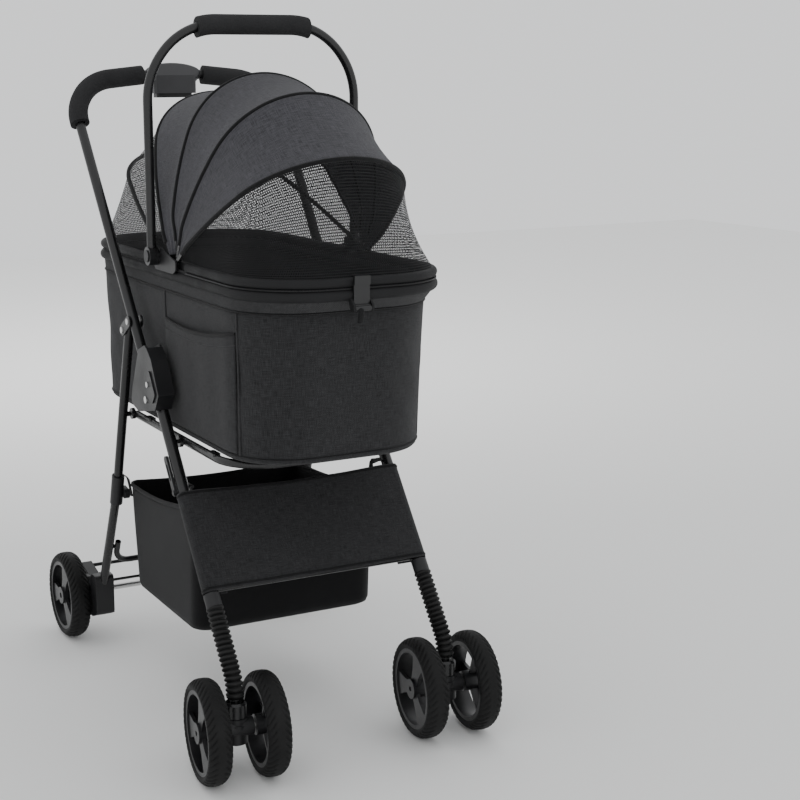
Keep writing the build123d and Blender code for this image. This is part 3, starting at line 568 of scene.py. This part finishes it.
# Side pocket: a second layer over the wall whose open top edge gapes in the middle. Out from
# the wall it is 1.2 mm plus a bulge of half a sine wave each way that fades downwards.
def makePocket():
    across = np.linspace(bag["pocketRear"] - 0.002, bag["pocketFront"] + 0.003, 70)
    t = np.linspace(0, 1, 34)
    share = (across - across[0]) / (across[-1] - across[0])
    top = bag["pocketTop"] + 0.012 * share ** 3 - 0.004 * np.sin(math.pi * share)
    low = bag["bottomZ"] + 0.012
    z = top[:, None] + (low - top)[:, None] * t[None]
    gape = 0.0065 * np.sin(math.pi * share)[:, None] ** 0.8 * np.exp(-t * 5.0)[None]
    wave = 0.0006 * np.sin(share * 21 + 1)[:, None] * np.sin(math.pi * t)[None]
    lean = (bag["seamZ"] - z) * 0.04
    points = sidePoint(across[:, None] + lean, z, 0.0012 + gape + wave, -1)
    pocket = gridPiece("sidePocket", points, clothOf(points))
    giveThickness(pocket, 0.0014, 0.0)
    dress(pocket, charcoalCloth.material, "carrier")
    edge = tubePiece("pocketEdge", points[:, 0] + [0, 0, 0.0004], 0.0015, (0, 0, 1), 8, wide=1.6)
    dress(edge, bindingTape.material, "carrier")
    hemLine = points[:, 3] + [-0.0009, 0, 0]
    hem = beadPiece("pocketStitches", evenly(hemLine, 64), np.tile([1.0, 0, 0], (64, 1)), (0.0024, 0.0007, 0.0007))
    dress(hem, greyPlastic.material, "carrier")


makePocket()

# Floor pad: a crowned cushion with rounded sides and quilted channels across it.
boardLow, boardHigh = (np.array(corner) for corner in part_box("floor_board"))


def makeFloorPad():
    thick = boardHigh[2] - boardLow[2] + 0.006
    half, front, rear = boardHigh[0] - 0.002, boardLow[1] + 0.002, boardHigh[1] - 0.002
    rows = []
    shares = np.concatenate([[0], np.linspace(0.08, 0.9, 14), [0.96, 1.0]])
    edge = roundedRing(half, front, rear, 0.086, 140)
    centre = np.array([0, (front + rear) / 2])
    for top in (True, False):
        for share in (shares if top else shares[::-1][1:]):
            flat = centre + (edge - centre) * share
            swell = (1 - share ** 6) ** 0.5
            quilt = 0.0011 * np.abs(np.cos(flat[:, 1] * math.pi / 0.085)) ** 0.4 * swell if top else 0
            z = boardLow[2] + (0.35 + (0.65 if top else -0.35) * swell) * thick + quilt - (0.0011 if top else 0)
            rows.append(np.concatenate([flat, np.broadcast_to(z, len(flat))[:, None]], 1))
    points = np.stack(rows, 1)
    pad = gridPiece("floorPad", points, clothOf(points, True), wrapU=True, crease=70)
    dress(pad, innerCloth.material, "carrier")
    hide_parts("floor_board")


makeFloorPad()
print("carrier bag made")

# ---------- canopy ----------
pivot = np.array(jointAt["top_bow_fold"]["pos_m"], float)
canopy = {
    "half": 0.161, "crown": 0.84, "sleeve": 0.0034, "cloth": 0.0011, "sag": 0.006,
    "front": (33.0, 0.296, 0.1587), "middle": (63.0, 0.276, 0.1562), "top": (95.0, 0.275, 0.1537),
    "fourth": (129.0, 0.317, 0.161), "fifth": (157.0, 0.390, 0.161),   # angle, height, foot's x
}


# A three-centre arch by length: a large arc up each side, then a crown arc. Gives x and height.
def archLine(u, height):
    half = canopy["half"]
    crown = canopy["crown"] * half
    side = (half ** 2 + (height - crown) ** 2 - crown ** 2) / (2 * (half - crown))
    split = math.atan2(height - crown, side - half)
    run = np.minimum(u, 1 - u) * 2 * (side * split + crown * (math.pi / 2 - split))
    turn = split + (run - side * split) / crown
    low = run < side * split
    x = np.where(low, half - side + side * np.cos(run / side), crown * np.cos(turn))
    h = np.where(low, side * np.sin(run / side), height - crown + crown * np.sin(turn))
    return np.where(u < 0.5, -x, x), h


def bowLine(name, u, grow=0.0):
    angle, height, foot = canopy[name]
    x, h = archLine(np.asarray(u, float), height)
    joggle = smooth((h - 0.046) / 0.032)
    x = np.sign(x) * (foot + (np.abs(x) - foot) * np.where(h < 0.09, joggle, 1.0))
    a = math.radians(angle)
    return np.stack([x, pivot[1] - (h + grow) * math.cos(a), pivot[2] + (h + grow) * math.sin(a)], -1)


# Cloth between two lines: straight across, drawn in by the sag towards the pivot in the middle,
# with small gathers near the feet.
def spanBetween(first, second, sag, gather=0.0012, rows=22):
    w = np.linspace(0, 1, rows)[None, :, None]
    flat = first[:, None] * (1 - w) + second[:, None] * w
    toPivot = pivot - flat
    toPivot /= np.maximum(np.linalg.norm(toPivot, axis=2), 1e-6)[:, :, None]
    u = np.linspace(0, 1, len(first))[:, None, None]
    dip = sag * 4 * w * (1 - w) * np.sin(math.pi * u) ** 0.5
    pleat = gather * np.sin(w * 6 * math.pi) * np.exp(-np.minimum(u, 1 - u) * 14) * 4 * w * (1 - w)
    return flat + toPivot * (dip + pleat)


def blendAcross(piece):
    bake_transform(piece)


def makeCanopy():
    u = np.linspace(0.022, 0.978, 120)
    panels = [("canopyFront", "front", "middle", "front_bow", "middle_bow", "canopy_front"),
              ("canopyMiddle", "middle", "top", "middle_bow", "top_bow", "canopy_middle"),
              ("canopyRear", "top", "fourth", "top_bow", "carrier", "canopy_rear")]
    for name, a, b, bodyA, bodyB, node in panels:
        points = spanBetween(bowLine(a, u, 0.0012), bowLine(b, u, 0.0012), canopy["sag"])
        sheet = gridPiece(name, points, clothOf(points))
        giveThickness(sheet, canopy["cloth"], 0.0)
        dress(sheet, canopyCloth.material)
        blendAcross(sheet)
        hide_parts(node)
    u = np.linspace(0.05, 0.95, 150)
    bodies = {"front": "front_bow", "middle": "middle_bow", "top": "top_bow",
              "fourth": "carrier", "fifth": "carrier"}
    for name, body in bodies.items():
        a = math.radians(canopy[name][0])
        across = (0, math.sin(a), math.cos(a))
        sleeve = tubePiece(name + "BowSleeve", bowLine(name, u), canopy["sleeve"], across, 10)
        dress(sleeve, bindingTape.material, body)


makeCanopy()

doorLow, doorHigh = (np.array(corner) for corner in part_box("door_rim"))
rimHalf, rimTube = 0.152, 0.007


# Half of the rim's outline seen from above, from the right side at y = 0 of the pivot round to
# the left side, raised to the height z. toward is -1 for the front and 1 for the rear.
def rimLine(yEnd, toward, z, n, start=0.0, corner=0.105, grow=0.0):
    quarter = np.linspace(0, math.pi / 2, 24)
    half = rimHalf + grow
    yTurn = yEnd + toward * grow - toward * (corner + grow)
    c, s = np.cos(quarter) * (corner + grow), np.sin(quarter) * (corner + grow)
    x = half - corner - grow
    line = np.concatenate([[[-half, pivot[1] + toward * start]], np.stack([-x - c, yTurn + toward * s], -1),
                           np.stack([x + c[::-1], yTurn + toward * s[::-1]], -1),
                           [[half, pivot[1] + toward * start]]])
    flat = evenly(line, n)
    return np.concatenate([flat, np.full((n, 1), z)], 1)


def makeNets():
    n = 130
    rimTop = doorHigh[2] - 0.001
    u = np.linspace(0.03, 0.97, n)
    doorEdge = rimLine(doorLow[1] + rimTube, -1, rimTop, n, 0.03)
    points = spanBetween(doorEdge, bowLine("front", u), 0.012, 0.0)
    net = gridPiece("frontNet", points, clothOf(points))
    dress(net, netCloth.material)
    blendAcross(net)
    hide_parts("front_mesh")
    points = spanBetween(bowLine("fourth", u), bowLine("fifth", u), 0.004, 0.0)
    side = gridPiece("rearNetUpper", points, clothOf(points))
    dress(side, netCloth.material, "carrier")
    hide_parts("rear_mesh")
    rearEdge = rimLine(0.330, 1, rimTop, n, 0.05)
    points = spanBetween(bowLine("fifth", u), rearEdge, 0.004, 0.0)
    side = gridPiece("rearNetLower", points, clothOf(points))
    dress(side, netCloth.material, "carrier")


makeNets()


# Zip teeth and the tape under them, in the gap between the two rims.
def makeZip():
    z = (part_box("lower_rim")[1][2] + doorLow[2]) / 2
    line = rimLine(doorLow[1] + rimTube, -1, z, 380, 0.04, grow=0.0045)
    ups = np.tile([0.0, 0, 1], (len(line), 1))
    teeth = beadPiece("zipTeeth", line, ups, (0.0011, 0.0032, 0.0022))
    dress(teeth, mouldedPlastic.material, "carrier")
    whole = np.concatenate([rimLine(doorLow[1] + rimTube, -1, z, 160, grow=0.002),
                            rimLine(0.330, 1, z, 170, grow=0.002)[::-1]])
    tape = tubePiece("zipTape", evenly(whole, 300, True), 0.0012, (0, 0, 1), 8, True, 2.2)
    dress(tape, bindingTape.material, "carrier")


makeZip()
print("canopy made")

# ---------- leg panel ----------
tilt = math.radians(37.0)
legFoot = np.array([-0.246, 0.233])
panel = {"half": 0.184, "depth": 0.0124, "low": 0.016, "high": 0.172, "flap": 0.042,
         "sag": 0.005, "cloth": 0.0011}


def onLeg(s, out, x):
    # a point at distance s up the front leg, out behind it, at x across
    y = legFoot[0] + s * math.sin(tilt) + out * math.cos(tilt)
    z = legFoot[1] + s * math.cos(tilt) - out * math.sin(tilt)
    return np.stack(np.broadcast_arrays(x, y, z), -1)


# The panel's outline across the legs: flap, half circle round the leg, front face and back.
def makeLegPanel():
    half, depth = panel["half"], panel["depth"] - 0.001
    turn = np.linspace(math.pi / 2, 3 * math.pi / 2, 18)
    left = np.stack([-(half - depth) + depth * np.cos(turn), depth * np.sin(turn)], -1)
    flapEnd = [[-half + panel["flap"], depth]]
    right = left[::-1] * [-1, 1]
    outline = evenly(np.concatenate([flapEnd, left, right, [[half - panel["flap"], depth]]]), 150)
    s = np.linspace(panel["low"], panel["high"], 40)
    v = (s - s[0]) / (s[-1] - s[0])
    x, out = outline[:, 0][:, None], outline[:, 1][:, None]
    face = (out < -depth * 0.98) * np.clip(1 - (x / 0.15) ** 2, 0, 1)
    dip = panel["sag"] * face * np.sin(math.pi * (0.15 + 0.7 * v))[None]
    pull = 0.0008 * np.sin(x * 60 + v[None] * 9) * face
    top = -0.004 * face * v[None] ** 4
    points = onLeg(s[None] + top, out + dip + pull, x)
    sheet = gridPiece("legPanel", points, clothOf(points))
    giveThickness(sheet, panel["cloth"], 0.0)
    dress(sheet, charcoalCloth.material, "front_frame")
    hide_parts("leg_panel")
    for label, row in (("Top", -2), ("Low", 1)):
        hem = tubePiece("panel" + label + "Hem", points[:, row] + [0, -0.0004, 0.0003], 0.0013, (0, 0, 1), 8, wide=1.8)
        dress(hem, bindingTape.material, "front_frame")


makeLegPanel()

# ---------- basket ----------
basket = {
    "half": 0.1525, "wall": 0.0016, "sag": 0.004,
    "rearTop": (0.162, 0.313), "rearLow": (0.137, 0.1425), "frontLow": (-0.127, 0.1425),
    "frontTop": (-0.135, 0.343), "corner": 0.022,
}


# A ring of the basket at share t of its height: rounded rectangle whose front and rear lines
# slope with the sides. The rim rises to the front as the top line does.
def makeBasket():
    def ringAt(t, inset=0.0, shrink=1.0):
        front = basket["frontLow"][0] + (basket["frontTop"][0] - basket["frontLow"][0]) * t
        rear = basket["rearLow"][0] + (basket["rearTop"][0] - basket["rearLow"][0]) * t
        corner = basket["corner"]
        ring = roundedRing(basket["half"] - inset, front + inset, rear - inset, corner, 160)
        share = (ring[:, 1] - front) / (rear - front)
        topZ = basket["frontTop"][1] + (basket["rearTop"][1] - basket["frontTop"][1]) * share
        droop = 0.010 * np.sin(math.pi * np.clip(share, 0, 1)) * (np.abs(ring[:, 0]) > 0.14)
        endDroop = 0.007 * np.clip(1 - (ring[:, 0] / 0.15) ** 2, 0, 1) * (np.abs(share - 0.5) > 0.47)
        z = basket["rearLow"][1] + (topZ - droop - endDroop - basket["rearLow"][1]) * t
        centre = np.array([0, (front + rear) / 2])
        bulge = 1 + 0.010 * math.sin(math.pi * t)
        flat = centre + (ring - centre) * shrink * [1.0, bulge]
        return np.concatenate([flat, z[:, None]], 1)
    rows = [ringAt(t) for t in np.linspace(1, 0.06, 22)]
    low = ringAt(0.0, 0.008)
    rows.append(ringAt(0.02, 0.002))
    rows.append(low)
    centre = np.array([0, 0.005, basket["rearLow"][1]])
    for share in (0.85, 0.6, 0.3, 0):
        ring = centre + (low - centre) * share
        ring[:, 2] -= basket["sag"] * (1 - share ** 2)
        rows.append(ring)
    points = np.stack(rows, 1)
    shell = gridPiece("storageBasket", points, clothOf(points, True), wrapU=True, crease=60)
    giveThickness(shell, basket["wall"], -1.0)
    dress(shell, basketCloth.material, "front_frame")
    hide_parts("storage_basket")
    rim = tubePiece("basketRim", points[:, 0], 0.0024, (0, 0, 1), 8, True, 1.5)
    dress(rim, bindingTape.material, "front_frame")
    straps = []
    for hand, side in (("right", -1), ("left", 1)):
        front = np.array([[side * 0.1515, -0.122, 0.322], [side * 0.1515, -0.119, 0.352],
                          [side * 0.153, -0.122, 0.376], [side * 0.160, -0.134, 0.381], [side * 0.163, -0.139, 0.381]])
        straps.append(tubePiece(hand + "FrontStrap", evenly(front, 20), 0.0011, (0, 1, 0), 10, wide=6.0))
        rear = np.array([[side * 0.1515, 0.150, 0.292], [side * 0.153, 0.153, 0.308],
                         [side * 0.157, 0.150, 0.322], [side * 0.160, 0.146, 0.326]])
        straps.append(tubePiece(hand + "RearStrap", evenly(rear, 16), 0.0011, (0, 1, 0), 10, wide=6.0))
    for strap in straps:
        dress(strap, bindingTape.material, "front_frame")
    for piece in [shell, rim] + straps:
        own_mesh(piece)


makeBasket()
print("basket and panel made")


# ---------- bellows ----------
# A pleated sleeve along the strut: straight down the leg's line, round the bend and upright.
# The radius is a mean plus a rounded wave, one pleat every 8 mm.
def makeBellows():
    kneeY, kneeZ = -0.318, legFoot[1] - (legFoot[0] + 0.318) * math.cos(tilt) / math.sin(tilt)
    bend, reach = 0.060, 0.060 * math.tan(tilt / 2)
    top = legFoot - 0.004 * np.array([math.sin(tilt), math.cos(tilt)])
    centre = np.array([kneeY + bend, kneeZ - reach])
    turn = np.linspace(math.pi - tilt, math.pi, 30)
    arc = centre + bend * np.stack([np.cos(turn), np.sin(turn)], -1)
    line = evenly(np.concatenate([[top], arc, [[kneeY, 0.1185]]]), 230)
    run = np.linalg.norm(np.diff(line, axis=0), axis=1).sum()
    wave = np.abs(np.sin(np.linspace(0, math.pi * run / 0.0074, len(line)))) ** 0.9
    radius = 0.0096 + 0.0036 * wave
    for hand, side in (("right", -1), ("left", 1)):
        path = np.concatenate([np.full((len(line), 1), side * 0.172), line], 1)
        sleeve = tubePiece(hand + "Bellows", path, radius, (1, 0, 0), 28)
        dress(sleeve, boltRubber.material)
        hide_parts(hand + "_boot")
        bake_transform(sleeve)


makeBellows()


# ---------- springs ----------
# A helix round the leg's axis between the strut's upper end and the stop in the leg tube.
def makeSprings():
    turns, coil, wire = 5, 0.0055, 0.0011
    angle = np.linspace(0, 2 * math.pi * turns, 24 * turns + 1)
    for hand, side in (("right", -1), ("left", 1)):
        s = 0.0932 + np.linspace(0, 0.030, len(angle))
        line = onLeg(s, coil * np.sin(angle), side * 0.172 + coil * np.cos(angle))
        spring = tubePiece(hand + "Spring", line, wire, (math.sin(tilt) * 0, -math.cos(tilt), math.sin(tilt)), 8)
        dress(spring, brightSteel.material)
        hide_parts(hand + "_spring")
        tuple(onLeg(np.array(0.094), 0, side * 0.172))
        tuple(onLeg(np.array(0.122), 0, side * 0.172))
        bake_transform(spring)


makeSprings()


# ---------- latch strap ----------
def makeLatchStrap():
    x, y, z = jointAt["latch_swing"]["pos_m"]
    x -= 0.005
    line = np.array([[x, y - 0.003, z + 0.001], [x, y - 0.005, z - 0.004], [x, y - 0.004, z - 0.011],
                     [x, y - 0.002, z - 0.019]])
    strap = tubePiece("latchStrap", evenly(line, 24), 0.0009, (1, 0, 0), 10, wide=5.0)
    dress(strap, bindingTape.material, "carrier")


makeLatchStrap()

# ---------- stage, light and camera ----------
stageColors = {"floor": (0.9, 0.9, 0.89), "air": (0.93, 0.94, 0.95)}
floorSize = 6.0
corner = np.array([[[-floorSize, -floorSize, -0.0005], [-floorSize, floorSize, -0.0005]],
                   [[floorSize, -floorSize, -0.0005], [floorSize, floorSize, -0.0005]]])
floor = gridPiece("studioFloor", corner)
floorPaint = Paint("studioFloor", stageColors["floor"], 0.9)
floor.data.materials.append(floorPaint.material)

world = bpy.data.worlds.new("studio")
world.use_nodes = True
world.node_tree.nodes["Background"].inputs["Color"].default_value = (*stageColors["air"], 1)
world.node_tree.nodes["Background"].inputs["Strength"].default_value = 1.15
bpy.context.scene.world = world


def softLight(name, place, target, size, watts):
    light = bpy.data.lights.new(name, "AREA")
    light.size = size
    light.energy = watts
    lamp = bpy.data.objects.new(name, light)
    bpy.context.scene.collection.objects.link(lamp)
    away = np.array(target, float) - np.array(place, float)
    lamp.location = place
    lamp.rotation_euler = (math.atan2(math.hypot(away[0], away[1]), -away[2]), 0,
                           math.atan2(away[0], -away[1]) * 1.0)
    return lamp


softLight("keyLight", (-1.6, -2.2, 2.6), (0, 0, 0.5), 1.8, 95)
softLight("fillLight", (2.2, -1.4, 1.8), (0, 0, 0.5), 1.6, 55)
softLight("backLight", (0.6, 2.2, 2.2), (0, 0, 0.6), 1.4, 45)

lens = {"azimuth": -26.3, "elevation": 11.5, "roll": -0.4, "distance": 2.217, "focal": 1517.6 / 800,
        "target": (0.0, -0.2147, 0.5297), "shift": (0.1124, -0.018)}


def makeCamera():
    a, e, roll = (math.radians(lens[k]) for k in ("azimuth", "elevation", "roll"))
    back = np.array([math.sin(a) * math.cos(e), -math.cos(a) * math.cos(e), math.sin(e)])
    right = np.array([math.cos(a), math.sin(a), 0])
    up = np.cross(back, right)
    right, up = right * math.cos(roll) + up * math.sin(roll), up * math.cos(roll) - right * math.sin(roll)
    data = bpy.data.cameras.new("camera")
    data.sensor_width = 36.0
    data.lens = 36.0 * lens["focal"]
    data.shift_x, data.shift_y = lens["shift"]
    eye = bpy.data.objects.new("camera", data)
    bpy.context.scene.collection.objects.link(eye)
    place = np.array(lens["target"]) + back * lens["distance"]
    matrix = np.eye(4)
    matrix[:3, 0], matrix[:3, 1], matrix[:3, 2], matrix[:3, 3] = right, up, back, place
    eye.matrix_world = Matrix(matrix.tolist())
    bpy.context.scene.camera = eye


makeCamera()
bpy.context.view_layer.update()
print("scene ready")
